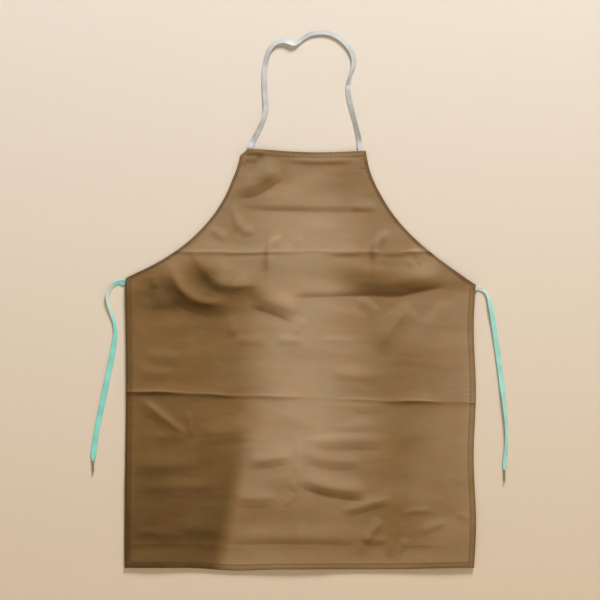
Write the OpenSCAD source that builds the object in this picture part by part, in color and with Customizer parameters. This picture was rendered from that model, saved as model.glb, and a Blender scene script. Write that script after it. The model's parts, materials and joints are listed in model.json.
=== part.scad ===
// Welding apron: one cut cloth panel with turned hems, a tape neck loop and two tape ties with aglets.
// +Z is up and the front of the apron faces -Y. Left and right are as seen from the front, so right is +X.
// The origin is the middle of the bottom hem, at half of the whole thickness.

/* [Panel] */
// Finished width of the skirt
panel_w = 762; // [700:2:820]
// Finished height, from the bottom hem to the top of the bib
panel_h = 914; // [890:2:960]
// Width of the bib along its top edge
bib_w = 280; // [260:2:300]
// Height of the two waist corners above the bottom hem
waist_h = 628; // [610:1:640]
// Thickness of one layer of cloth
cloth_t = 0.8; // [0.6:0.1:1.2]

/* [Folds] */
// Height of the pressed fold across the bib
bib_fold_h = 695; // [680:1:710]
// Height of the pressed fold across the skirt
skirt_fold_h = 373; // [340:1:400]
// Slit between two sections of cloth at a fold
fold_gap = 0.5; // [0.3:0.1:1.0]

/* [Hems and seams] */
// Width of the turned hem along the straight edges
hem_w = 14; // [12:1:20]
// Width of the turned hem along the armholes
arm_hem_w = 7.5; // [6.5:0.5:9]
// Distance of the stitch line from a straight edge
seam_in = 11.5; // [9:0.5:11.5]
// Distance of the stitch line from an armhole edge
arm_seam_in = 5; // [4:0.5:5]
// Width of a line of sewing thread
thread_w = 0.8; // [0.5:0.1:1.0]
// Height of a line of sewing thread above the cloth
thread_t = 0.3; // [0.2:0.1:0.4]

/* [Neck loop] */
// Width of the woven tape
tape_w = 12; // [10:1:14]
// Thickness of the woven tape
tape_t = 1.0; // [0.8:0.1:1.2]
// Height of the loop's crown above the bib
neck_rise = 258; // [220:1:300]
// Height of the line above the bib about which the loop folds
neck_stub = 10; // [9:1:14]
// Half of the bare length at the neck fold line
neck_gap = 2.5; // [2.5:0.5:4]
// Distance from the middle of the bib to the loop's right foot
neck_foot_r = 130; // [120:1:130]
// Distance from the middle of the bib to the loop's left foot
neck_foot_l = 109; // [100:1:120]
// Length of tape sewn down behind the bib
neck_tail = 40; // [30:1:44]

/* [Ties] */
// How far below the waist corner the tie leaves the side hem
tie_exit_drop = 8; // [7:1:12]
// Slope of the tie where it leaves the side hem, in degrees below level
tie_slope = 15; // [10:1:20]
// Length of tie sewn down behind the waist corner
tie_tail = 30; // [20:1:40]
// Distance from the side hem to the line about which the tie wraps
wrap_out = 7; // [7:0.5:10]
// Distance from the wrap line to the point about which the tie swings
swing_out = 14; // [12:1:18]
// Width of the tie where it gathers at the swing point
tie_neck_w = 5; // [4:0.5:5]
// Height of the left tie's aglet above the bottom hem
left_tie_end_h = 238; // [200:1:260]
// Height of the right tie's aglet above the bottom hem
right_tie_end_h = 218; // [200:1:250]
// How far outside its swing point each tie hangs at its widest
tie_spread = 48; // [30:1:60]

/* [Aglets] */
// Outside diameter of an aglet
aglet_d = 4.4; // [4:0.1:5]
// Length of an aglet
aglet_len = 25; // [20:1:30]
// Wall thickness of an aglet
aglet_wall = 0.35; // [0.3:0.05:0.5]

/* [Hidden] */
cloth_colour = [0.55, 0.43, 0.29];
thread_colour = [0.36, 0.27, 0.16];
neck_colour = [0.80, 0.81, 0.80];
tie_colour = [0.53, 0.85, 0.78];
aglet_colour = [0.42, 0.37, 0.31];

// The layers from front to back. All depths are centred on y = 0.
hem_t = 2 * cloth_t;
whole_t = thread_t + cloth_t + hem_t + thread_t + tape_t / 2 + aglet_d / 2;
front_y = -whole_t / 2;
cloth_front_y = front_y + thread_t;
cloth_back_y = cloth_front_y + cloth_t;
hem_back_y = cloth_back_y + hem_t;
tape_front_y = hem_back_y + thread_t;
tape_mid_y = tape_front_y + tape_t / 2;
tape_back_y = tape_front_y + tape_t;

// Lines and points that the moving sections turn about, seen from the front.
neck_fold_h = panel_h + neck_stub;
wrap_x = panel_w / 2 + wrap_out;
tie_exit = [panel_w / 2, waist_h - tie_exit_drop];
tie_dir = [cos(tie_slope), -sin(tie_slope)];
swing_pt = tie_exit + (wrap_out + swing_out) / cos(tie_slope) * tie_dir;
wrap_gap = 2;
swing_gap = 4;

// Sewn ends of the neck tape lean to follow the tape above them.
neck_lean_l = -30;
neck_lean_r = 5;

curve_steps = 16;
aglet_fn = 48;
bar_w = 2;

// A bezier curve from four control points.
function bezier_at(p, t) =
    pow(1 - t, 3) * p[0] + 3 * t * pow(1 - t, 2) * p[1] + 3 * t * t * (1 - t) * p[2] + pow(t, 3) * p[3];
function bezier(p, steps = curve_steps) = [for (i = [0:steps]) bezier_at(p, i / steps)];
// The same without its first point, for joining curves end to end.
function bezier_on(p, steps = curve_steps) = [for (i = [1:steps]) bezier_at(p, i / steps)];
function backwards(pts) = [for (i = [len(pts) - 1:-1:0]) pts[i]];
function mirrored(pts) = [for (p = pts) [-p.x, p.y]];
function heading(pts, i) =
    let (d = pts[min(i + 1, len(pts) - 1)] - pts[max(i - 1, 0)]) d / norm(d);
function shifted(pts, widths, side) =
    [for (i = [0:len(pts) - 1]) pts[i] + side * widths[i] / 2 * [-heading(pts, i).y, heading(pts, i).x]];
function even(pts, w) = [for (p = pts) w];

// Armhole edge, from the bib corner down to the waist corner.
arm_edge = bezier([
    [bib_w / 2, panel_h],
    [bib_w / 2 + 14, panel_h - 114],
    [bib_w / 2 + 86, waist_h + 84],
    [panel_w / 2, waist_h]
], 24);
outline = concat(
    [[-panel_w / 2, 0], [panel_w / 2, 0]], backwards(arm_edge), mirrored(arm_edge));

// Neck loop from its left foot to its right foot. Points are measured from the bib's top, and
// stretch with the loop's rise above its fold line.
function loop_pt(x, z) = [x, neck_fold_h + z * (neck_rise - neck_stub) / 248];
neck_left = loop_pt(-neck_foot_l, 0);
neck_right = loop_pt(neck_foot_r, 0);
neck_dir_l = [-sin(neck_lean_l), cos(neck_lean_l)];
neck_dir_r = [-sin(neck_lean_r), cos(neck_lean_r)];
neck_line = concat(
    [neck_left - tape_w * neck_dir_l],
    bezier([neck_left, neck_left + 32 * neck_dir_l, loop_pt(-74, 60), loop_pt(-74, 84)], 8),
    bezier_on([loop_pt(-74, 84), loop_pt(-78, 151), loop_pt(-84, 226), loop_pt(-39, 227)]),
    bezier_on([loop_pt(-39, 227), loop_pt(-15, 227), loop_pt(10, 248), loop_pt(48, 248)], 10),
    bezier_on([loop_pt(48, 248), loop_pt(85, 248), loop_pt(118, 206), loop_pt(118, 168)]),
    bezier_on([loop_pt(118, 168), loop_pt(118, 146), loop_pt(107, 128), loop_pt(107, 108)], 8),
    bezier_on([loop_pt(107, 108), loop_pt(107, 86), neck_right + 48 * neck_dir_r, neck_right], 10),
    [neck_right - tape_w * neck_dir_r]);

// The ties hang from their swing points. Both are drawn on the right: the left one is mirrored.
function below_swing(out, down) = swing_pt + [out, -down];
hang_x = swing_pt.x + tie_spread;
left_end = [hang_x + 0.5, left_tie_end_h];
left_tie_line = concat(
    bezier([swing_pt, swing_pt + 8 * tie_dir, below_swing(17.5, 12.4), below_swing(17.5, 26.4)], 8),
    bezier_on(
        [below_swing(17.5, 26.4), below_swing(17.5, 48.4), below_swing(0, 66.4), below_swing(0, 92.4)], 10),
    bezier_on([below_swing(0, 92.4), below_swing(0, 144.4), left_end + [0, 64], left_end]));
right_end = [hang_x - 5, right_tie_end_h];
right_bulge = [hang_x, right_tie_end_h + 72];
right_tie_line = concat(
    bezier([swing_pt, swing_pt + 8 * tie_dir, below_swing(12.5, 34.4), below_swing(15.5, 51.4)], 8),
    bezier_on([below_swing(15.5, 51.4), below_swing(21, 83.4), right_bulge + [0, 55], right_bulge]),
    bezier_on([right_bulge, right_bulge - [0, 28], right_end + [0, 22], right_end], 8));

// A flat shape drawn as seen from the front, given thickness t in front of back_y.
module upright(back_y, t) {
    translate([0, back_y, 0]) rotate([90, 0, 0]) linear_extrude(t) children();
}

// The strip of the front view between two heights.
module strip(low, high) {
    translate([-panel_w, low]) square([2 * panel_w, high - low]);
}

// A strip of tape or thread along a line of points.
module ribbon(pts, widths) {
    polygon(concat(shifted(pts, widths, 1), backwards(shifted(pts, widths, -1))));
}

// One section of the cloth panel between two heights, with the two turned layers of its hems behind it.
module cloth_section(low, high) {
    color(cloth_colour) {
        upright(cloth_back_y, cloth_t) intersection() {
            polygon(outline);
            strip(low, high);
        }
        upright(hem_back_y, hem_t + cloth_t / 2) intersection() {
            hem_shape();
            strip(low, high);
        }
    }
}

// The turned hems all round the panel.
module hem_shape() {
    difference() {
        polygon(outline);
        intersection() {
            offset(delta = -arm_hem_w) polygon(outline);
            translate([-panel_w / 2 + hem_w, hem_w]) square([panel_w - 2 * hem_w, panel_h - 2 * hem_w]);
        }
    }
}

module bib_panel() { cloth_section(bib_fold_h + fold_gap / 2, panel_h + 1); }
module waist_panel() { cloth_section(skirt_fold_h + fold_gap / 2, bib_fold_h - fold_gap / 2); }
module skirt_panel() { cloth_section(-1, skirt_fold_h - fold_gap / 2); }

// A lockstitched seam: the needle thread lies on the front and the bobbin thread on the hem's back.
module seam() {
    color(thread_colour) {
        upright(cloth_front_y, thread_t) children();
        upright(hem_back_y + thread_t, thread_t) children();
    }
}

module straight_seam(a, b) {
    seam() ribbon([a, b], [thread_w, thread_w]);
}

// The armhole seam between two heights, drawn on the right.
module armhole_seam_shape(low, high) {
    inner = shifted(arm_edge, even(arm_edge, 2 * arm_seam_in), -1);
    intersection() {
        ribbon(inner, even(inner, thread_w));
        strip(low, high);
    }
}

seam_x = panel_w / 2 - seam_in;
seam_clear = 2 * thread_w;
arm_seam_low = waist_h + 2;
arm_seam_high = panel_h - seam_in - seam_clear;
side_seam_high = waist_h - 2;

module top_seam() {
    half = bib_w / 2 - arm_seam_in + thread_w;
    straight_seam([-half, panel_h - seam_in], [half, panel_h - seam_in]);
}

module armhole_seam_upper() { seam() armhole_seam_shape(bib_fold_h + fold_gap, arm_seam_high); }
module armhole_seam_lower() { seam() armhole_seam_shape(arm_seam_low, bib_fold_h - fold_gap); }
module side_seam_upper() { straight_seam([seam_x, skirt_fold_h + fold_gap], [seam_x, side_seam_high]); }
module side_seam_lower() {
    straight_seam([seam_x, seam_in + seam_clear], [seam_x, skirt_fold_h - fold_gap]);
}
module bottom_seam() { straight_seam([-seam_x - thread_w, seam_in], [seam_x + thread_w, seam_in]); }

module left() { mirror([1, 0, 0]) children(); }

module neck_loop() {
    color(neck_colour) upright(tape_back_y, tape_t) intersection() {
        ribbon(neck_line, even(neck_line, tape_w));
        strip(neck_fold_h + neck_gap, panel_h + 2 * neck_rise);
    }
}

// Places a shape at a foot of the neck loop, with its own -Y running down the sewn end of the tape.
module at_neck_foot(foot, lean) {
    translate(foot) rotate(lean) children();
}

module neck_tail(foot, lean) {
    tail_len = neck_tail + neck_stub;
    color(neck_colour) upright(tape_back_y, tape_t) intersection() {
        at_neck_foot(foot, lean) translate([-tape_w / 2, -tail_len]) square([tape_w, tail_len + tape_w]);
        strip(0, neck_fold_h - neck_gap);
    }
}

// Box of stitches through a sewn end of the neck tape, closed by a bar tack at its lower end.
module neck_tack_shape(foot, lean) {
    box_w = tape_w - 5;
    box_top = neck_stub + seam_in + 7;
    box_h = neck_tail + neck_stub - box_top - 2;
    at_neck_foot(foot, lean) translate([-box_w / 2, -box_top - box_h]) {
        difference() {
            square([box_w, box_h]);
            translate([thread_w, bar_w]) square([box_w - 2 * thread_w, box_h - bar_w - thread_w]);
        }
    }
}

module neck_tack(foot, lean) { tack() neck_tack_shape(foot, lean); }

// A tack goes through the cloth and the tape: it shows on the front and on the tape's back.
module tack() {
    color(thread_colour) {
        upright(cloth_front_y, thread_t) children();
        upright(tape_back_y + thread_t, thread_t) children();
    }
}

// Places a shape at the point where the tie leaves the hem, with its own +X running along the tie.
module at_tie_exit() {
    translate(tie_exit) rotate(-tie_slope) children();
}

module tie_tail() {
    out = (wrap_out - wrap_gap) / cos(tie_slope);
    color(tie_colour) upright(tape_back_y, tape_t)
        at_tie_exit() translate([-tie_tail, -tape_w / 2]) square([tie_tail + out, tape_w]);
}

// Two bar tacks across the sewn end of a tie, one near the edge of the panel and one at its inner end.
module tie_tack() {
    bar_l = tape_w - 2;
    tack() at_tie_exit() for (along = [-tie_tail + bar_w, -seam_in + 2 * bar_w])
        translate([along, -bar_l / 2]) square([bar_w, bar_l]);
}

// The short piece of tie between the wrap line and the swing point, gathering as it goes.
module tie_root() {
    near = (wrap_out + wrap_gap) / cos(tie_slope);
    far = (wrap_out + swing_out) / cos(tie_slope) - swing_gap;
    color(tie_colour) upright(tape_back_y, tape_t) at_tie_exit()
        ribbon([[near, 0], [far, 0]], [tape_w, tie_neck_w]);
}

// A hanging tie: gathered at its swing point, full width below, gathered again into its aglet.
function tie_widths(pts) = [for (p = pts)
    let (top = norm(p - swing_pt), low = norm(p - pts[len(pts) - 1]))
    min(tie_neck_w + (tape_w - tie_neck_w) * min(1, top / 60), aglet_bore_r + low * 0.8, tape_w)];
aglet_bore_r = aglet_d / 2 - aglet_wall;
plug_clearance = 0.1;

module tie(pts) {
    color(tie_colour) {
        upright(tape_back_y, tape_t) difference() {
            ribbon(pts, tie_widths(pts));
            translate(swing_pt) circle(swing_gap, $fn = aglet_fn);
        }
        // The end of the tape is rolled up inside the aglet.
        translate([0, 0, -0.8 * aglet_len]) at_tie_end(pts)
            cylinder(h = 0.8 * aglet_len + 2, r = aglet_bore_r - plug_clearance, $fn = aglet_fn);
    }
}

// Places a shape at the end of a tie. Both ties end hanging plumb.
module at_tie_end(pts) {
    end = pts[len(pts) - 1];
    translate([end.x, tape_mid_y, end.y]) children();
}

// A drawn metal tube with a rounded, closed tip, open at the top where the tape goes in.
module aglet(pts) {
    r = aglet_d / 2;
    tip_r = 1.2;
    color(aglet_colour) at_tie_end(pts) rotate_extrude($fn = aglet_fn) difference() {
        union() {
            translate([0, -aglet_len + tip_r]) square([r, aglet_len - tip_r]);
            translate([0, -aglet_len]) square([r - tip_r, 2 * tip_r]);
            translate([r - tip_r, -aglet_len + tip_r]) circle(tip_r, $fn = aglet_fn);
        }
        translate([0, -0.85 * aglet_len]) square([aglet_bore_r, aglet_len]);
        translate([-2 * r, -2 * aglet_len]) square([2 * r, 3 * aglet_len]);
    }
}

bib_panel();
waist_panel();
skirt_panel();
top_seam();
left() armhole_seam_upper();  // left_armhole_seam_upper
armhole_seam_upper();  // right_armhole_seam_upper
left() armhole_seam_lower();  // left_armhole_seam_lower
armhole_seam_lower();  // right_armhole_seam_lower
left() side_seam_upper();  // left_side_seam_upper
side_seam_upper();  // right_side_seam_upper
left() side_seam_lower();  // left_side_seam_lower
side_seam_lower();  // right_side_seam_lower
bottom_seam();
neck_loop();
neck_tail(neck_left, neck_lean_l);  // left_neck_tail
neck_tail(neck_right, neck_lean_r);  // right_neck_tail
neck_tack(neck_left, neck_lean_l);  // left_neck_tack
neck_tack(neck_right, neck_lean_r);  // right_neck_tack
left() tie_tail();  // left_tie_tail
tie_tail();  // right_tie_tail
left() tie_tack();  // left_tie_tack
tie_tack();  // right_tie_tack
left() tie_root();  // left_tie_root
tie_root();  // right_tie_root
left() tie(left_tie_line);  // left_tie
tie(right_tie_line);  // right_tie
left() aglet(left_tie_line);  // left_aglet
aglet(right_tie_line);  // right_aglet
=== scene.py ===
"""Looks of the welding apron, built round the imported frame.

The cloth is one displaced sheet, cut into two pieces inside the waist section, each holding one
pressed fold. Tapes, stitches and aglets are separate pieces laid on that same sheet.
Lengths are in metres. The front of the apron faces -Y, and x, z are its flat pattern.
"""
import json
import math

import bpy
import numpy as np
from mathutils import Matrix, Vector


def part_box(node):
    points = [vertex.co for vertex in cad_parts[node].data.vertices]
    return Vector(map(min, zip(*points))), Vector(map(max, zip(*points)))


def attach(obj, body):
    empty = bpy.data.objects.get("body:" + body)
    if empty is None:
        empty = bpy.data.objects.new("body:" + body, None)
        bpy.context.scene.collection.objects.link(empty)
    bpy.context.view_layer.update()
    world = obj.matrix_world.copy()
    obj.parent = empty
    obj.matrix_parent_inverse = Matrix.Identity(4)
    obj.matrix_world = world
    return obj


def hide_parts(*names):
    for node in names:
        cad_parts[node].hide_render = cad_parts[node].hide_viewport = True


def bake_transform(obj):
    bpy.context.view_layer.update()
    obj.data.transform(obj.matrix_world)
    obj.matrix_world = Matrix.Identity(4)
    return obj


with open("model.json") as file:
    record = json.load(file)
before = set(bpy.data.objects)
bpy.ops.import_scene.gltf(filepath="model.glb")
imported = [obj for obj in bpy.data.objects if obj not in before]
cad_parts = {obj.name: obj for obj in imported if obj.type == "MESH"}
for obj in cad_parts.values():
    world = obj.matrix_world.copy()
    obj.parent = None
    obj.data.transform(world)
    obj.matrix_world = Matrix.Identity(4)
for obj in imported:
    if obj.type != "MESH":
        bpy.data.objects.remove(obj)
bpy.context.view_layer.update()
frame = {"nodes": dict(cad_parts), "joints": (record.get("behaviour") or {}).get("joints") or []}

MM = 0.001

# ---------------------------------------------------------------- places taken from the frame
JOINTS = {joint["name"]: joint for joint in frame["joints"]}


def pivot(name):
    return np.array(JOINTS[name]["pos_m"])


def corner(node, which):
    return np.array(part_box(node)[which])


PANEL_HALF = corner("waist_panel", 1)[0]
PANEL_TOP = corner("bib_panel", 1)[2]
WAIST_Z = max(v.co.z for v in frame["nodes"]["waist_panel"].data.vertices if v.co.x > PANEL_HALF - 0.1 * MM)
BIB_HALF = max(v.co.x for v in frame["nodes"]["bib_panel"].data.vertices if v.co.z > PANEL_TOP - 0.1 * MM)
BIB_FOLD_Z = pivot("bib_fold")[2]
SKIRT_FOLD_Z = pivot("skirt_fold")[2]
NECK_FOLD = pivot("neck_fold")
SPLIT_Z = (BIB_FOLD_Z + SKIRT_FOLD_Z) / 2

# ---------------------------------------------------------------- cloth, hems and tape
CLOTH_T = 0.8 * MM
HEM_T = 2 * CLOTH_T
THREAD_T = 0.3 * MM
FRONT_Y = corner("bottom_seam", 0)[1] + THREAD_T
TAPE_Y = pivot("left_tie_wrap")[1]
TAPE_W = 12 * MM
TAPE_T = 1.0 * MM
HEM_W = 14 * MM
SEAM_IN = 11.5 * MM
ARM_HEM_W = 7.5 * MM
ARM_SEAM_IN = 5 * MM
RIM_R = 1.05 * MM
REST_Y = 3.3 * MM

RNG = np.random.default_rng(41)


def soft_step(t):
    t = np.clip(t, 0, 1)
    return t * t * (3 - 2 * t)


def bell(t):
    return np.exp(-t * t)


def bezier(p0, p1, p2, p3, steps=24):
    t = np.linspace(0, 1, steps + 1)[:, None]
    p0, p1, p2, p3 = (np.array(p, float) for p in (p0, p1, p2, p3))
    return (1 - t) ** 3 * p0 + 3 * t * (1 - t) ** 2 * p1 + 3 * t * t * (1 - t) * p2 + t**3 * p3


def join(*curves):
    """Curves end to end, without the doubled points."""
    return np.vstack([curves[0]] + [c[1:] for c in curves[1:]])


def run_lengths(points):
    """Length of a path up to each of its points."""
    return np.concatenate([[0], np.cumsum(np.linalg.norm(np.diff(points, axis=0), axis=1))])


def unit(vectors):
    return vectors / np.maximum(np.linalg.norm(vectors, axis=-1, keepdims=True), 1e-12)


def directions(path):
    """Unit vectors along a path."""
    return unit(np.gradient(path, axis=0))


def smooth_values(values, passes):
    values = np.array(values, float)
    for _ in range(passes):
        values[1:-1] = (values[:-2] + 2 * values[1:-1] + values[2:]) / 4
    return values


def resample(points, step):
    """The same path with points an even step apart."""
    along = run_lengths(points)
    count = max(2, int(round(along[-1] / step)) + 1)
    at = np.linspace(0, along[-1], count)
    return np.stack([np.interp(at, along, points[:, k]) for k in range(points.shape[1])], axis=1)


def away_from(points, path):
    """For each (x, z) point: the distance to a path, the side it lies on and the share of the path passed."""
    ahead = unit(np.diff(path, axis=0))
    passed = run_lengths(path)
    lengths = np.diff(passed)
    rel = points[:, None, :] - path[None, :-1, :]
    t = np.clip((rel * ahead).sum(2), 0, lengths)
    distance = np.linalg.norm(rel - t[:, :, None] * ahead, axis=2)
    nearest = distance.argmin(1)
    row = np.arange(len(points))
    rel, ahead, t = rel[row, nearest], ahead[nearest], t[row, nearest]
    side = np.where(ahead[:, 0] * rel[:, 1] - ahead[:, 1] * rel[:, 0] < 0, -1.0, 1.0)
    return distance[row, nearest], side, (passed[nearest] + t) / passed[-1]


# The armhole edge on the right, from the waist corner up to the bib corner.
ARM_EDGE = bezier(
    (PANEL_HALF, WAIST_Z),
    (BIB_HALF + 86 * MM, WAIST_Z + 84 * MM),
    (BIB_HALF + 14 * MM, PANEL_TOP - 114 * MM),
    (BIB_HALF, PANEL_TOP),
    48,
)


def edge_distances(x, z):
    """Distances to the side, bottom, top and armhole edges, from inside the panel."""
    points = np.stack([np.abs(x), z], axis=1)
    near_arm = np.full(len(x), 1.0)
    close = (z > WAIST_Z - 40 * MM) & (np.abs(x) > BIB_HALF - 40 * MM)
    if close.any():
        near_arm[close] = away_from(points[close], ARM_EDGE)[0]
    return PANEL_HALF - np.abs(x), z, PANEL_TOP - z, near_arm


# ---------------------------------------------------------------- relief of the cloth
# Folds are soft ridges along short curves. Each is (points, reach to the left of the way it runs, reach to
# the right, height, foot), in millimetres. The right side mostly faces away from the light. With foot 0 the
# crest is narrow and the right side runs out softly; with 1 that side gets steeper all the way down and stops
# at a sharp foot.
BIB_FOLDS = [
    ([(-50, 896), (35, 893), (124, 896)], 9, 7, 2.0, 0.5),
    ([(-132, 908), (-104, 905), (-76, 908)], 8, 9, 2.0, 0.4),
    ([(-138, 894), (-118, 891), (-96, 893)], 6, 6, 1.5, 0.5),
    ([(-154, 838), (-116, 830), (-86, 850), (-42, 880)], 26, 17, 6.4, 0.6),
    ([(-190, 798), (0, 796), (178, 791)], 36, 10, 3.2, 0.6),
    ([(96, 792), (130, 789), (166, 791)], 14, 8, 1.6, 0.5),
    ([(-160, 800), (-147, 768), (-139, 732)], 14, 9, 2.8, 0.3),
    ([(-142, 738), (-124, 736), (-100, 738)], 12, 8, 1.7, 0.4),
    ([(-208, 744), (-188, 738), (-166, 718)], 11, 9, 1.8, 0.4),
    ([(-38, 734), (-72, 714), (-85, 690), (-84, 648)], 13, 9, 3.2, 0.2),
    ([(-26, 710), (-14, 715), (-2, 726)], 9, 7, 0.9, 0.3),
    ([(198, 742), (164, 722), (149, 702), (147, 664)], 14, 10, 3.6, 0.2),
    ([(252, 704), (240, 684), (224, 658)], 10, 9, 2.6, 0.3),
    ([(268, 694), (258, 680), (248, 664)], 7, 7, 1.6, 0.3),
]
WAIST_FOLDS = [
    ([(-256, 708), (-220, 664), (-184, 625), (-144, 618), (-76, 624)], 46, 15, 10.0, 0.1),
    ([(-304, 678), (-274, 625), (-246, 593), (-210, 582), (-140, 575)], 17, 21, 8.4, 0.2),
    ([(-330, 588), (-295, 585), (-250, 579)], 18, 15, 2.8, 0.4),
    ([(-326, 644), (-318, 624), (-314, 604)], 10, 9, 2.0, 0.4),
    ([(-112, 600), (-54, 585), (0, 559)], 26, 19, 6.6, 0.7),
    ([(-152, 560), (-148, 530), (-144, 504)], 12, 9, 1.4, 0.4),
    ([(60, 626), (150, 629), (205, 622), (256, 637), (330, 658)], 32, 22, 11.0, 0.85),
    ([(-30, 606), (50, 605), (130, 610)], 20, 8, 2.2, 0.8),
    ([(160, 474), (198, 522), (226, 558), (250, 604)], 26, 24, 5.2, 0.2),
    ([(122, 592), (150, 580), (176, 556)], 14, 13, 2.4, 0.5),
    ([(270, 520), (300, 556), (322, 600)], 14, 18, 1.6, 0.4),
    ([(8, 552), (-4, 530), (-9, 508)], 8, 8, 1.8, 0.3),
    ([(-156, 503), (-112, 498), (-64, 503)], 12, 9, 1.4, 0.4),
    ([(-58, 503), (-22, 498), (16, 503)], 12, 9, 1.4, 0.4),
    ([(30, 500), (80, 504), (130, 499)], 8, 6, 0.6, 0.3),
    ([(-356, 574), (-320, 568), (-276, 572)], 14, 12, 1.6, 0.4),
    ([(-356, 474), (-310, 462), (-250, 464)], 20, 14, 1.9, 0.4),
    ([(-364, 436), (-320, 426), (-270, 430)], 14, 12, 1.5, 0.4),
    ([(50, 432), (110, 424), (180, 424)], 18, 10, 1.5, 0.4),
]
SKIRT_FOLDS = [
    ([(-356, 378), (-300, 334), (-238, 288)], 10, 19, 4.6, 0.2),
    ([(-247, 356), (-240, 324), (-235, 284)], 8, 8, 1.9, 0.3),
    ([(-240, 300), (-160, 298), (-90, 309)], 24, 20, 3.2, 0.4),
    ([(-384, 298), (-320, 293), (-230, 286)], 16, 15, 1.7, 0.3),
    ([(-384, 230), (-310, 224), (-196, 228)], 18, 15, 2.0, 0.3),
    ([(-384, 178), (-290, 177), (-150, 183)], 18, 18, 2.5, 0.3),
    ([(-384, 90), (-330, 75), (-240, 70)], 16, 14, 2.0, 0.3),
    ([(-300, 92), (-212, 82), (-120, 90)], 16, 14, 1.4, 0.3),
    ([(-122, 240), (-60, 237), (-8, 254)], 16, 13, 3.6, 0.4),
    ([(-152, 161), (-100, 156), (-44, 160)], 16, 16, 3.4, 0.3),
    ([(-18, 200), (-10, 186), (-16, 170)], 7, 7, 1.1, 0.3),
    ([(-6, 172), (-22, 152), (-34, 136)], 8, 8, 1.1, 0.3),
    ([(20, 358), (110, 355), (204, 358)], 12, 12, 2.0, 0.6),
    ([(-40, 318), (80, 313), (190, 316)], 12, 10, 1.7, 0.6),
    ([(-20, 288), (100, 279), (206, 286)], 16, 15, 2.7, 0.6),
    ([(-2, 264), (36, 242), (84, 236), (146, 238)], 15, 13, 2.8, 0.5),
    ([(-4, 206), (40, 186), (90, 176), (158, 171)], 20, 15, 7.2, 0.6),
    ([(84, 128), (138, 141), (172, 153), (208, 158)], 9, 11, 3.6, 0.5),
    ([(134, 58), (158, 80), (178, 116)], 13, 10, 3.6, 0.3),
    ([(128, 68), (160, 64), (196, 68)], 10, 9, 1.8, 0.6),
    ([(210, 28), (223, 48), (232, 74)], 9, 9, 2.0, 0.3),
    ([(214, 120), (250, 137), (296, 128)], 8, 7, 1.3, 0.4),
    ([(260, 82), (288, 98), (322, 106)], 9, 9, 1.8, 0.4),
    ([(334, 124), (354, 118), (374, 108)], 8, 8, 1.3, 0.4),
    ([(-210, 72), (-60, 73), (60, 73), (156, 68)], 20, 12, 2.6, 0.8),
]


def fold_curve(path):
    """A smooth curve through the given points, in metres."""
    path = np.array(path, float) * MM
    if len(path) == 3:
        return bezier(path[0], (path[0] + 2 * path[1]) / 3, (path[2] + 2 * path[1]) / 3, path[2], 8)
    return smooth_values(resample(path, 12 * MM), 3)


FOLDS = [
    (fold_curve(path), left * MM, right * MM, height * MM, foot)
    for path, left, right, height, foot in BIB_FOLDS + WAIST_FOLDS + SKIRT_FOLDS
]


def add_ridge(relief, points, curve, left, right, height, foot):
    """Adds the relief of one fold, which dies away over a third of its length at both ends."""
    reach = 3 * max(left, right)
    near = np.nonzero(np.all((points > curve.min(0) - reach) & (points < curve.max(0) + reach), axis=1))[0]
    if len(near):
        distance, side, share = away_from(points[near], curve)
        ends = soft_step(share * 3) * soft_step((1 - share) * 3)
        # The crest of a side that runs out is rounded over its first 3 mm.
        runs_out = np.exp(-((distance**2 + (3 * MM) ** 2) ** 0.5 - 3 * MM) / (0.75 * right))
        stops = np.maximum(1 - (distance / (1.35 * right)) ** 2, 0) ** 0.9
        slope = foot * stops + (1 - foot) * runs_out
        relief[near] += height * ends * np.where(side > 0, bell(distance / left), slope)


def wave_set(count, short, long, size, stretch=1.0):
    """Random waves from short to long, as (x rate, z rate, size, phase). Stretch draws them out sideways."""
    length = short * (long / short) ** RNG.random(count)
    angle = RNG.random(count) * 2 * math.pi
    phase = RNG.random(count) * 2 * math.pi
    rate = 2 * math.pi / length
    return np.stack([
        rate * np.cos(angle) / stretch, rate * np.sin(angle), size * length / long / math.sqrt(count), phase
    ], axis=1)


# Unevenness of the resting cloth: broad swells, drawn-out sideways wrinkles and a fine crumple.
WAVES = np.vstack([
    wave_set(10, 140 * MM, 420 * MM, 2.2 * MM),
    wave_set(12, 60 * MM, 150 * MM, 1.1 * MM, stretch=1.7),
    wave_set(14, 22 * MM, 70 * MM, 0.22 * MM, stretch=3.2),
    wave_set(10, 12 * MM, 30 * MM, 0.06 * MM, stretch=1.5),
])


def uneven(x, z):
    total = np.zeros(len(x))
    for rate_x, rate_z, size, phase in WAVES:
        total += size * np.cos(rate_x * x + rate_z * z + phase)
    return total


# How far from the upper fold the folded bib reaches, and the depth that hollows may have.
BIB_REACH = 225 * MM
DEEPEST = 0.7 * MM

# Pressed packing creases: height, rise per metre to the right, size, wander.
CREASES = [
    (BIB_FOLD_Z - 2 * MM, 0.004, 2.6 * MM, 1.2 * MM),
    (SKIRT_FOLD_Z + 4 * MM, -0.034, 3.0 * MM, 1.4 * MM),
    (52 * MM, 0.0, 0.7 * MM, 1.0 * MM),
]


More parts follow.
